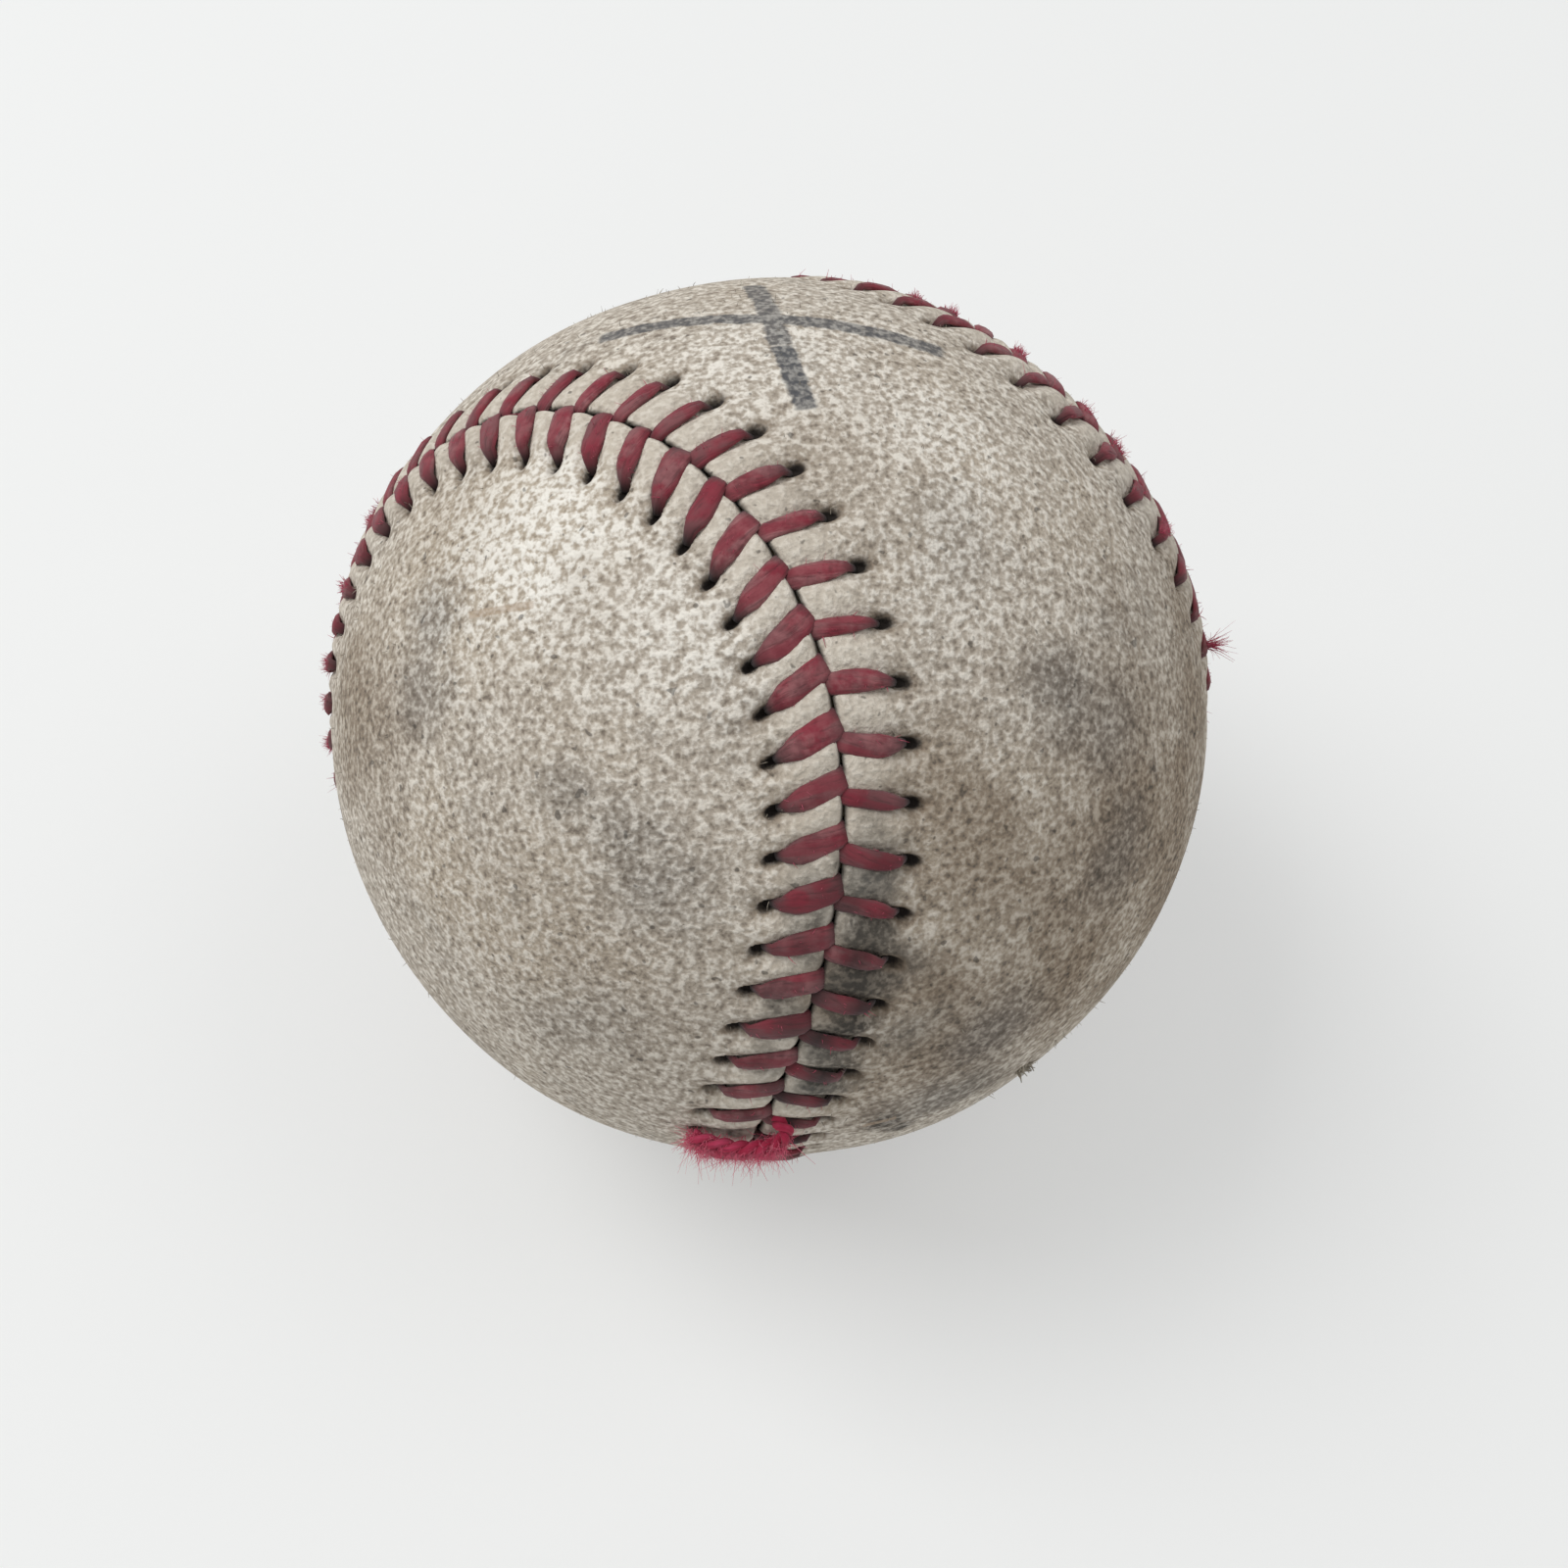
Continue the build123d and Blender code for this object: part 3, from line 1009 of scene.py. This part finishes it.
@dataclass
class CoverPanel:
    """One figure-eight panel of the cover, as a grid along the seam and in from its edge."""

    seam: Seam
    side: Side
    columns_per_stitch: int = 16
    near_rows: int = 31
    far_rows: int = 16
    lining_rows: int = 4
    near_reach: float = 9.0
    spine_degrees: float = 112.0
    edge_drop: float = 0.42
    edge_width: float = 0.3
    ridge: float = 0.28
    ridge_width: float = 4.2
    swell: float = 0.24
    swell_place: float = 2.2
    swell_width: float = 2.4
    press: float = 0.3
    furrow_width: float = 0.95
    furrow_end: tuple[float, float] = (0.6, 1.2)
    wave: float = 0.10
    pit_depth: float = 0.9
    dimple: float = 0.25
    dimple_width: float = 2.6
    hole_length: float = 0.75
    hole_width: float = 0.42
    hole_shift: float = 0.35
    hole_limit: float = 6.0
    edge_limit: float = 12.0
    deepest: float = 1.0
    thickness: float = 1.12
    tuck: float = 0.6
    first_row: float = 0.06
    row_growth: float = 1.15

    def _spine(self, t: Array) -> Array:
        """Directions along the panel's middle line, where each edge place's row ends.

        The line is an arc of a great circle from one lobe to the other, and the place on it is
        the arc's half length times the sine (panel a) or cosine (panel b) of the parameter.

        Args:
            t: curve parameters of the seam.

        Returns:
            One direction per parameter.
        """
        reach = math.radians(self.spine_degrees)
        if self.side is Side.A:
            angle = reach * np.sin(t)
            line = np.stack([-np.sin(angle), np.zeros_like(t), np.cos(angle)], axis=-1)
        else:
            angle = reach * np.cos(t)
            line = np.stack([np.zeros_like(t), np.sin(angle), -np.cos(angle)], axis=-1)
        return self.seam.laid(line)

    def _stitch_offset(self, along: Array, aside: Array) -> tuple[Array, Array]:
        """Distances to the nearest stitch and to the nearest stitch hole.

        A stitch runs straight from its hole to the seam, where it is ahead of the hole by its lag.
        The hole is an oval drawn out along the stitch, and its distance is one on its rim.

        Args:
            along: lengths along the seam.
            aside: distances in from the seam.

        Returns:
            Distance from the nearest stitch's middle line, and from the nearest hole.
        """
        sewing = SEWING[self.side]
        pitch = self.seam.pitch
        reach = math.hypot(sewing.lag, sewing.setback)
        lead = sewing.lag * (1.0 - np.clip(aside / sewing.setback, 0.0, 1.0))
        past = along - self.seam.hole_along(np.zeros(1))
        off = past - pitch * np.round(past / pitch)
        beside = past + lead - pitch * np.round((past + lead) / pitch)
        away = aside - sewing.setback
        onward = (off * sewing.lag + away * sewing.setback) / reach - self.hole_shift
        across = (off * sewing.setback - away * sewing.lag) / reach
        hole = np.hypot(onward / self.hole_length, across / self.hole_width)
        return beside * sewing.setback / reach, np.minimum(hole, self.hole_limit)

    def _heights(self, along: Array, aside: Array, directions: Array) -> tuple[Array, Array]:
        """Height of the leather over the plain ball, and the distance from the stitch holes.

        The edge rolls down into the seam, a low ridge stands beside it, each stitch presses a
        furrow, each hole is a pit in a dimple, and slow waves make the worn ball slightly lumpy.

        Args:
            along: lengths along the seam.
            aside: distances in from the seam.
            directions: unit directions to the places.

        Returns:
            Heights in millimetres, and distances from the holes, which are one on a hole's rim.
        """
        stitch, hole = self._stitch_offset(along, aside)
        setback = SEWING[self.side].setback
        band = 1.0 - ease(setback - self.furrow_end[0], setback + self.furrow_end[1], aside)
        furrow = bell(stitch, self.furrow_width) * band
        swell = (1.0 - furrow) * band * bell(aside - self.swell_place, self.swell_width)
        x, y, z = np.moveaxis(directions, -1, 0)
        waves = np.sin(5.1 * x + 3.7 * y + 0.6) * np.sin(4.3 * z - 2.9 * x + 1.1)
        waves += 0.6 * np.sin(9.7 * y - 6.1 * z + 2.0) * np.sin(8.3 * x + 5.2 * z)
        height = self.ridge * bell(aside, self.ridge_width) + self.swell * swell - self.press * furrow
        height += self.wave * waves - self.edge_drop * bell(aside, self.edge_width)
        height -= self.pit_depth * np.exp(-(hole**4)) + self.dimple * bell(hole, self.dimple_width)
        return np.maximum(height, -self.deepest), hole

    def _sheet(self, along: Array, near: Array, far_rows: int) -> tuple[Array, Array]:
        """Directions of a sheet of rows: some beside the seam, then some that run on to the spine.

        A row beside the seam keeps its distance from it. A later row is a share of the way on
        the great circle from the last of those to the spine.

        Args:
            along: lengths along the seam, one per column.
            near: distances of the rows beside the seam.
            far_rows: number of later rows.

        Returns:
            Directions and distances in from the seam, row by column.
        """
        start = self.seam.beside(along[None, :], near[:, None] * self.side.sign)
        spine = self._spine(self.seam.parameter(along))
        share = np.linspace(0.0, 1.0, far_rows + 1)[1:, None, None]
        far = unit(start[-1][None] * (1.0 - share) + spine[None] * share)
        reach = np.arccos(np.clip((far * start[-1][None]).sum(-1), -1.0, 1.0)) * self.seam.radius
        aside = np.concatenate([np.repeat(near[:, None], len(along), axis=1), near[-1] + reach])
        return np.concatenate([start, far]), aside

    def build(self, material: bpy.types.Material) -> bpy.types.Object:
        """Make the panel's closed mesh: the lining from the spine to the edge, then the face back again.

        Args:
            material: the leather.

        Returns:
            The panel.
        """
        columns = self.seam.stitch_count * self.columns_per_stitch
        along = self.seam.length * np.arange(columns) / columns
        near = self.near_reach * np.linspace(0.0, 1.0, self.near_rows) ** self.row_growth + self.first_row
        directions, aside = self._sheet(along, near, self.far_rows)
        height, hole = self._heights(np.broadcast_to(along, aside.shape), aside, directions)
        face = directions * (self.seam.radius + height)[..., None]
        under = np.linspace(self.tuck, self.near_reach, self.lining_rows)
        lining, inset = self._sheet(along, under, self.lining_rows)
        points = np.concatenate([lining[::-1] * (self.seam.radius - self.thickness), face])
        hole = np.concatenate([np.full(inset.shape, self.hole_limit), hole])
        edge = np.concatenate([np.where(inset > self.tuck, inset, 0.0)[::-1], aside])
        rows = len(points)
        number = np.arange(rows * columns).reshape(rows, columns)
        order = np.arange(columns)
        twin = (columns // 2 - order) % columns if self.side is Side.A else (-order) % columns
        number[[0, -1]] = number[[0, -1]][:, np.minimum(order, twin)]
        after = np.roll(number, -1, axis=1)
        quads = np.stack([number[:-1], after[:-1], after[1:], number[1:]], axis=-1).reshape(-1, 4)
        if self.side is Side.B:
            quads = quads[:, ::-1]
        used, quads = np.unique(quads, return_inverse=True)
        edge = np.minimum(edge, self.edge_limit)
        values = {"hole": hole.reshape(-1)[used], "edge": edge.reshape(-1)[used]}
        name = f"cover_leather_{self.side.name.lower()}"
        return make_piece(name, points.reshape(-1, 3)[used], [quads.reshape(-1, 4)], material, values)


@dataclass
class SewnThread:
    """One run of the sewing thread: every other stitch of each panel, as flattened strands."""

    seam: Seam
    start: int
    rings: int = 8
    sides: int = 8
    seed: int = 11
    width_range: tuple[float, float] = (0.86, 1.1)
    thickness_range: tuple[float, float] = (0.85, 1.1)
    bow: float = 0.12
    overlap: float = 0.3
    lift: float = 0.26
    lift_spread: float = 0.05
    hole_sink: float = 1.0
    seam_sink: float = 0.42
    lumpiness: float = 0.07
    grimy_stitches: tuple[float, float] = (95.0, 103.0)
    grime_shares: tuple[float, float] = (0.95, 0.55)

    def _grime_and_end_shade(self, index: Array, sides: Array, share: Array) -> Array:
        """Painted shade at both ends of each stitch, where it sinks into its hole and into the seam, and
        grime in patches on the last stitches of the seam.

        Args:
            index: numbers of the stitches.
            sides: numbers of their panels.
            share: shares of the way along a stitch.

        Returns:
            The painted shade and grime, stitch by share.
        """
        ends = np.maximum(bell(share, 0.16), 0.55 * bell(1.0 - share, 0.1))
        low = ease(*self.grimy_stitches, index.astype(float)) * np.array(self.grime_shares)[sides]
        patches = 0.5 + 0.5 * np.sin(8.0 * share + 2.4 * index[:, None])
        return np.maximum(ends, low[:, None] * (0.3 + 0.7 * patches))

    def build(self, material: bpy.types.Material) -> bpy.types.Object:
        """Make the run's stitches, each an ellipse carried from the hole over the leather to the seam.

        A stitch sinks into the leather by a bell curve at each end, swells from its hole onwards
        and is a little lumpy. The pulled stitch of panel b is left out.

        Args:
            material: the thread's finish.

        Returns:
            The run of stitches.
        """
        draw = np.random.default_rng(self.seed + self.start)
        index = np.arange(self.seam.stitch_count)
        index = index[(index != PULLED_STITCH) | ((index + self.start) % 2 == Side.A.value)]
        sides = (index + self.start) % 2
        column = (len(index), 1)
        sizes = [(s.setback, s.lag, s.side.sign, s.width, s.thickness) for s in SEWING.values()]
        setback, lag, sign, width, thick = np.array(sizes)[sides].T[..., None]
        width = width * draw.uniform(*self.width_range, column)
        thick = thick * draw.uniform(*self.thickness_range, column)
        share = np.linspace(0.0, 1.0, self.rings)[None, :]
        bow = draw.normal(0.0, self.bow, column) * np.sin(math.pi * share)
        along = self.seam.hole_along(index)[:, None] - lag * share + bow
        aside = setback * (1.0 - share) - self.overlap * share
        directions = self.seam.beside(along, aside * sign)
        sink = self.hole_sink * bell(share, 0.10) + self.seam_sink * bell(1.0 - share, 0.12)
        lift = self.lift + draw.normal(0.0, self.lift_spread, column) - sink
        centres = directions * (self.seam.radius + lift)[..., None]
        swell = stitch_swell(share) - 0.12 * ease(0.85, 1.0, share)
        lumps = np.sin(5.0 * share + draw.uniform(0.0, 6.3, column))
        half_width = width / 2 * swell * (1.0 + self.lumpiness * lumps)
        half_height = thick / 2 * (0.75 + 0.25 * np.sin(math.pi * share))
        values = {
            "along": (share + index[:, None] * 0.37)[..., None],
            "around": np.arange(self.sides) / self.sides,
            "grime_and_end_shade": self._grime_and_end_shade(index, sides, share)[..., None],
            "tone": draw.uniform(0.0, 1.0, column)[..., None],
        }
        stitches = Tubes(centres, directions, half_width, half_height, self.sides)
        return stitches.build(f"sewn_thread_{'ab'[self.start]}", material, values)


@dataclass
class LooseEnd:
    """The thread's free end: a two-ply twist that loops out of the seam, lies back over it and frays.

    Its knots give the stitch number, the distance aside of the seam and the height over the leather.
    """

    seam: Seam
    knots: tuple[tuple[float, float, float], ...] = (
        (105.95, 0.0, -0.9),
        (105.75, 1.0, 0.4),
        (105.85, 1.65, 1.1),
        (106.25, 1.0, 1.4),
        (106.60, -0.75, 1.4),
        (106.70, -3.05, 1.2),
        (106.80, -4.8, 0.8),
    )
    ply: float = 0.66
    ply_offset: float = 0.42
    twist: float = 2.6
    grain: float = 3.0
    rings: int = 72
    sides: int = 8
    strands: int = 2400
    fray_start: float = 0.35
    fray_spread: float = 0.3
    fray_drop: float = 0.3
    fray_aside: float = -2.5
    seed: int = 5

    def _route(self) -> tuple[Array, Array]:
        """Middle line of the twist, a smooth curve through its knots.

        Returns:
            The line's places, and the ways out of the ball there.
        """
        path = smooth_path(np.array(self.knots), self.rings)
        out = self.seam.beside(self.seam.hole_along(path[:, 0]), path[:, 1])
        return out * (self.seam.radius + path[:, 2])[:, None], out

    def build(self, material: bpy.types.Material) -> bpy.types.Object:
        """Make the two plies, each a round strand on a helix about the route.

        Args:
            material: the clean thread's finish.

        Returns:
            The twist.
        """
        route, out = self._route()
        steps = np.linalg.norm(np.diff(route, axis=0), axis=1)
        run = np.concatenate([[0.0], np.cumsum(steps)])
        ahead = unit(np.gradient(route, axis=0))
        across = unit(np.cross(ahead, out))
        rise = np.cross(across, ahead)
        turn = (2.0 * math.pi * run / self.twist)[None, :] + np.array([0.0, math.pi])[:, None]
        offset = across * np.cos(turn)[..., None] + rise * np.sin(turn)[..., None]
        centres = route + offset * self.ply * self.ply_offset
        half = np.full(centres.shape[:2], self.ply / 2)
        around = np.arange(self.sides) / self.sides
        values = {"along": (run / self.grain)[None, :, None], "around": around, "grime_and_end_shade": 0.0, "tone": 0.0}
        LOG.info("loose end %.1f mm long", run[-1])
        plies = Tubes(centres, np.broadcast_to(out, centres.shape), half, half, self.sides)
        return plies.build("loose_end", material, values)

    def fray(self, material: bpy.types.Material) -> bpy.types.Object:
        """Make the frayed fibres that hang off the twist, thickest towards its end.

        A fibre leans down along the seam, a little along the twist and off the ball.

        Args:
            material: the fibres' finish.

        Returns:
            The frayed fibres.
        """
        draw = np.random.default_rng(self.seed)
        count, column = self.strands, (self.strands, 1)
        route, out = self._route()
        share = self.fray_start + (1.0 - self.fray_start) * draw.beta(1.4, 1.0, count)
        place = np.minimum((self.rings * share).astype(int), self.rings - 1)
        onward = self.seam.beside(self.seam.hole_along(PULLED_STITCH + np.arange(2.0)), self.fray_aside)
        down = unit(onward[1] - onward[0])
        ahead = unit(np.gradient(route, axis=0))[place]
        starts = route[place] + draw.normal(0.0, self.fray_spread, (count, 3)) + down * self.fray_drop
        ways = down * draw.uniform(0.2, 0.9, column) + ahead * draw.normal(0.15, 0.5, column)
        ways += out[place] * draw.normal(0.45, 0.3, column)
        bends = draw.normal(0.0, 0.6, (count, 3))
        lengths = draw.uniform(0.4, 1.1, count) * draw.uniform(0.6, 1.4, count)
        radii = draw.uniform(0.02, 0.045, count)
        return Fibres(starts, unit(ways), bends, lengths, radii).build("loose_end_fray", material)


@dataclass(frozen=True)
class Wool:
    """Extra fibres at some pixels of the photograph, over a whole stitch or close about one place."""

    pixels: tuple[Pixel, ...]
    count: int
    length: float
    lean: float
    whole_stitch: bool


@dataclass
class Fuzz:
    """Fine fibres that stand off the worn stitches and off the scuffed leather."""

    seam: Seam
    per_stitch: int = 14
    stitch_span: tuple[float, float] = (0.15, 0.9)
    stitch_spread: float = 0.38
    root_height: float = 0.2
    tuft_spread: float = 0.14
    tufts: Wool = Wool(((1226, 662), (1228, 692)), 40, 2.0, 0.2, False)
    woolly: Wool = Wool(
        (
            (372, 555), (352, 610), (340, 660), (337, 700), (338, 745), (343, 790), (352, 830),
            (930, 306), (985, 325), (1045, 362), (1105, 420), (1150, 480), (1185, 545),
        ),
        120, 0.66, 0.4, True,
    )
    nap_count: int = 3400
    nap_root: float = 0.2
    crumb_pixel: Pixel = (1044, 1090)
    crumb_count: int = 40
    crumb_spread: float = 0.006
    seed: int = 23

    def _on_stitches(self, draw: np.random.Generator) -> Array:
        """Random ways out of the ball to places on the stitches.

        A place keeps within its stitch, which is narrow at the hole and widens from there.

        Args:
            draw: the random source.

        Returns:
            Unit directions, with each stitch's own places together.
        """
        ways = []
        for sewing in SEWING.values():
            index = np.arange(self.seam.stitch_count)[:, None]
            if sewing.side is Side.B:
                index = np.delete(index, PULLED_STITCH, axis=0)
            share = draw.uniform(*self.stitch_span, (len(index), self.per_stitch))
            aside = sewing.setback * (1.0 - share) * sewing.side.sign
            width = sewing.width * stitch_swell(share)
            spread = draw.uniform(-self.stitch_spread, self.stitch_spread, share.shape) * width
            ways.append(self.seam.beside(self.seam.hole_along(index) - sewing.lag * share + spread, aside))
        return np.concatenate(ways).reshape(-1, 3)

    def _roots(self, out: Array, pixel: Pixel, wool: Wool, draw: np.random.Generator) -> Array:
        """Ways out of the ball to the roots of the extra fibres at one pixel.

        On a whole stitch each lies between two of the stitch's own places. Otherwise they are
        spread by chance about the nearest place.

        Args:
            out: ways to all the places on stitches.
            pixel: the pixel.
            wool: what kind of fibres they are.
            draw: the random source.

        Returns:
            Unit directions.
        """
        nearest = int(np.argmin(np.linalg.norm(out - CAMERA.on_ball(*pixel), axis=1)))
        if not wool.whole_stitch:
            return unit(out[nearest] + draw.normal(0.0, self.tuft_spread / self.seam.radius, (wool.count, 3)))
        first = nearest // self.per_stitch * self.per_stitch
        own = first + draw.integers(0, self.per_stitch, (2, wool.count))
        share = draw.uniform(0.0, 1.0, (wool.count, 1))
        return unit(out[own[0]] * share + out[own[1]] * (1.0 - share))

    def thread_fuzz(self, material: bpy.types.Material) -> bpy.types.Object:
        """Make the red fibres on the stitches, with the tufts and woolly stitches of the photograph.

        Args:
            material: the fibres' finish.

        Returns:
            The fibres.
        """
        draw = np.random.default_rng(self.seed)
        out = self._on_stitches(draw)
        roots, leans = [out], [out + draw.normal(0.0, 0.7, out.shape)]
        lengths = [draw.uniform(0.25, 0.7, len(out))]
        for wool in (self.tufts, self.woolly):
            for pixel in wool.pixels:
                root = self._roots(out, pixel, wool, draw)
                roots.append(root)
                leans.append(root + draw.normal(0.0, wool.lean, root.shape))
                lengths.append(draw.uniform(0.5, 1.0, wool.count) * wool.length)
        starts = np.concatenate(roots) * (self.seam.radius + self.root_height)
        bends = draw.normal(0.0, 0.35, starts.shape)
        radii = draw.uniform(0.022, 0.05, len(starts))
        fibres = Fibres(starts, unit(np.concatenate(leans)), bends, np.concatenate(lengths), radii)
        return fibres.build("thread_fuzz", material)

    def leather_fuzz(self, material: bpy.types.Material) -> bpy.types.Object:
        """Make the nap that stands off the leather all over, with one crumb of it at the lower edge.

        Args:
            material: the fibres' finish.

        Returns:
            The fibres.
        """
        draw = np.random.default_rng(self.seed + 1)
        out = unit(draw.normal(0.0, 1.0, (self.nap_count, 3)))
        lengths = draw.uniform(0.24, 0.52, self.nap_count)
        radii = draw.uniform(0.025, 0.06, self.nap_count)
        crumb = CAMERA.on_ball(*self.crumb_pixel)
        clump = unit(crumb + draw.normal(0.0, self.crumb_spread, (self.crumb_count, 3)))
        out = np.concatenate([out, clump])
        lengths = np.concatenate([lengths, draw.uniform(0.45, 0.9, self.crumb_count)])
        radii = np.concatenate([radii, draw.uniform(0.12, 0.24, self.crumb_count)])
        ways = unit(out + draw.normal(0.0, 0.6, out.shape))
        bends = draw.normal(0.0, 0.3, out.shape)
        starts = out * (self.seam.radius - self.nap_root)
        return Fibres(starts, ways, bends, lengths, radii).build("leather_fuzz", material)


@dataclass
class Core:
    """The unseen inside: cork, rubber, windings and cement, each finish with the nodes that wear it."""

    layers: tuple[tuple[MouldedFinish | YarnFinish, tuple[str, ...]], ...] = (
        (
            MouldedFinish("cork_composition", (0.42, 0.25, 0.12), (0.16, 0.08, 0.04), 0.0016, 0.85),
            ("cork_core",),
        ),
        (
            MouldedFinish("black_rubber", (0.022, 0.022, 0.024), (0.05, 0.05, 0.05), 0.0008, 0.6),
            ("black_rubber_cup_a", "black_rubber_cup_b"),
        ),
        (
            MouldedFinish("red_rubber", (0.34, 0.045, 0.03), (0.24, 0.03, 0.02), 0.0008, 0.55),
            ("cup_gasket", "red_rubber_layer"),
        ),
        (
            YarnFinish("grey_wool", (0.36, 0.38, 0.42), (0.10, 0.11, 0.13), 0.0016),
            ("first_winding", "third_winding"),
        ),
        (YarnFinish("white_wool", (0.74, 0.71, 0.64), (0.35, 0.33, 0.28), 0.0013), ("second_winding",)),
        (YarnFinish("white_cotton", (0.80, 0.78, 0.72), (0.42, 0.40, 0.36), 0.0006), ("finishing_winding",)),
        (
            MouldedFinish("rubber_cement", (0.60, 0.50, 0.30), (0.72, 0.64, 0.45), 0.003, 0.4),
            ("cement_film",),
        ),
    )

    def dress(self) -> None:
        """Give each inner node its finish."""
        for finish, nodes in self.layers:
            material = finish.material()
            for node in nodes:
                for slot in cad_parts[node].material_slots:
                    slot.material = material
                LOG.info("%s dressed as %s", node, material.name)


@dataclass
class Studio:
    """The pale table, the soft lamps and the plain world light, in metres and watts."""

    table_colour: Colour = (0.86, 0.865, 0.855)
    table_shade: float = 0.97
    white: Colour = (0.985, 0.99, 0.98)
    backdrop: Colour = (0.86, 0.87, 0.865)
    room_light: Colour = (0.97, 0.985, 1.0)
    table_size: float = 4.0
    table_glow: float = 0.34
    glow_from: float = 0.25
    glow_to: float = 0.8
    world_strength: float = 0.5
    left_place: tuple[float, float, float] = (-0.57, 0.18, 0.90)
    right_place: tuple[float, float, float] = (0.63, 0.15, 0.84)
    lamp_size: float = 0.60
    left_power: float = 5.7
    right_power: float = 1.5

    def _lamp(self, name: str, place: tuple[float, float, float], power: float) -> None:
        """Add a square soft lamp that faces the ball.

        Args:
            name: the lamp's name.
            place: where it hangs.
            power: its power.
        """
        data = bpy.data.lights.new(name, "AREA")
        data.size = self.lamp_size
        data.energy = power
        lamp = bpy.data.objects.new(name, data)
        back = unit(np.array(place))
        side = unit(np.cross([0.0, 0.0, 1.0], back))
        matrix = np.eye(4)
        matrix[:3, :3] = np.stack([side, np.cross(back, side), back], axis=1)
        matrix[:3, 3] = place
        lamp.matrix_world = Matrix(matrix.tolist())
        bpy.context.scene.collection.objects.link(lamp)

    def _table(self, floor: float) -> None:
        """Add the table, which glows by itself for the camera: a little near the ball, fully far off.

        Args:
            floor: height of the table.
        """
        material, graph, shader = start_material("table_top", 0.6)
        haze = graph.noise(graph.place(), 9.0, 2.0)
        shade = tuple(self.table_shade * c for c in self.table_colour)
        graph.feed(shader, "Base Color", graph.mix(haze, self.table_colour, shade))
        far = graph.ease(graph.vector("LENGTH", graph.place()), self.glow_from, self.glow_to)
        tint = graph.mix(far, self.white, self.backdrop)
        glow = graph.add("ShaderNodeEmission", {"Color": tint, "Strength": 1.0}).outputs[0]
        share = graph.camera_ray() * graph.ease(far, 0.0, 1.0, self.table_glow, 1.0)
        both = graph.add("ShaderNodeMixShader", {0: share, 1: shader.outputs[0], 2: glow}).outputs[0]
        graph.feed(material.node_tree.nodes["Material Output"], "Surface", both)
        corner = np.array([[-1, -1], [1, -1], [1, 1], [-1, 1]]) * (self.table_size / 2 / MM)
        points = np.concatenate([corner, np.full((4, 1), floor / MM)], axis=1)
        make_piece("table_top", points, [np.array([[0, 1, 2, 3]])], material)

    def _room(self) -> None:
        """Light the world evenly, with a plain backdrop for the camera."""
        world = bpy.data.worlds.new("room")
        world.use_nodes = True
        graph, nodes = Graph(world.node_tree), world.node_tree.nodes
        room = nodes["Background"]
        room.inputs["Color"].default_value = rgba(self.room_light)
        room.inputs["Strength"].default_value = self.world_strength
        pale = {"Color": rgba(self.backdrop), "Strength": 1.0}
        wall = graph.add("ShaderNodeBackground", pale).outputs[0]
        both = {0: graph.camera_ray(), 1: room.outputs[0], 2: wall}
        graph.feed(nodes["World Output"], "Surface", graph.add("ShaderNodeMixShader", both).outputs[0])
        bpy.context.scene.world = world

    def build(self, floor: float) -> None:
        """Make the table under the ball, the lamps and the world.

        Args:
            floor: height of the table.
        """
        self._table(floor)
        self._lamp("left_lamp", self.left_place, self.left_power)
        self._lamp("right_lamp", self.right_place, self.right_power)
        self._room()
        bpy.context.scene.view_settings.view_transform = "Standard"


CAMERA = PhotoCamera()


def main() -> None:
    """Build the ball's pieces in order, dress them, and light the scene."""
    logging.basicConfig(level=logging.INFO, format="%(name)s: %(message)s")
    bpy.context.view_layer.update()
    CAMERA.build()
    seam = Seam()
    LOG.info("seam %.1f mm long, pitch %.3f mm", seam.length, seam.pitch)
    leather = LeatherFinish().material()
    for side, node in ((Side.A, "cover_panel_a"), (Side.B, "cover_panel_b")):
        panel = CoverPanel(seam, side).build(leather)
        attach(panel, "root")
        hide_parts(node)
    thread = ThreadFinish().material()
    for start, node in ((0, "stitch_thread_a"), (1, "stitch_thread_b")):
        run = SewnThread(seam, start).build(thread)
        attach(run, "root")
        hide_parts(node)
    loose = LooseEnd(seam)
    fuzz = Fuzz(seam)
    crimson = ThreadFinish("loose_thread", (0.52, 0.05, 0.115), (0.36, 0.010, 0.045), dirt_amount=0.0)
    fluff = MouldedFinish("thread_fibres", (0.46, 0.06, 0.11), (0.58, 0.17, 0.22), 0.0006, 0.9).material()
    nap = MouldedFinish("leather_fibres", (0.40, 0.355, 0.285), (0.13, 0.11, 0.085), 0.004, 0.9).material()
    pink = MouldedFinish("frayed_fibres", (0.70, 0.12, 0.20), (0.78, 0.26, 0.33), 0.0008, 0.9).material()
    red = [loose.build(crimson.material()), loose.fray(pink), fuzz.thread_fuzz(fluff)]
    for piece, slot in [(p, "red_thread") for p in red] + [(fuzz.leather_fuzz(nap), "cover_leather")]:
        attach(piece, "root")
    Core().dress()
    Studio().build(-seam.radius * MM)


if __name__ == "__main__":
    main()
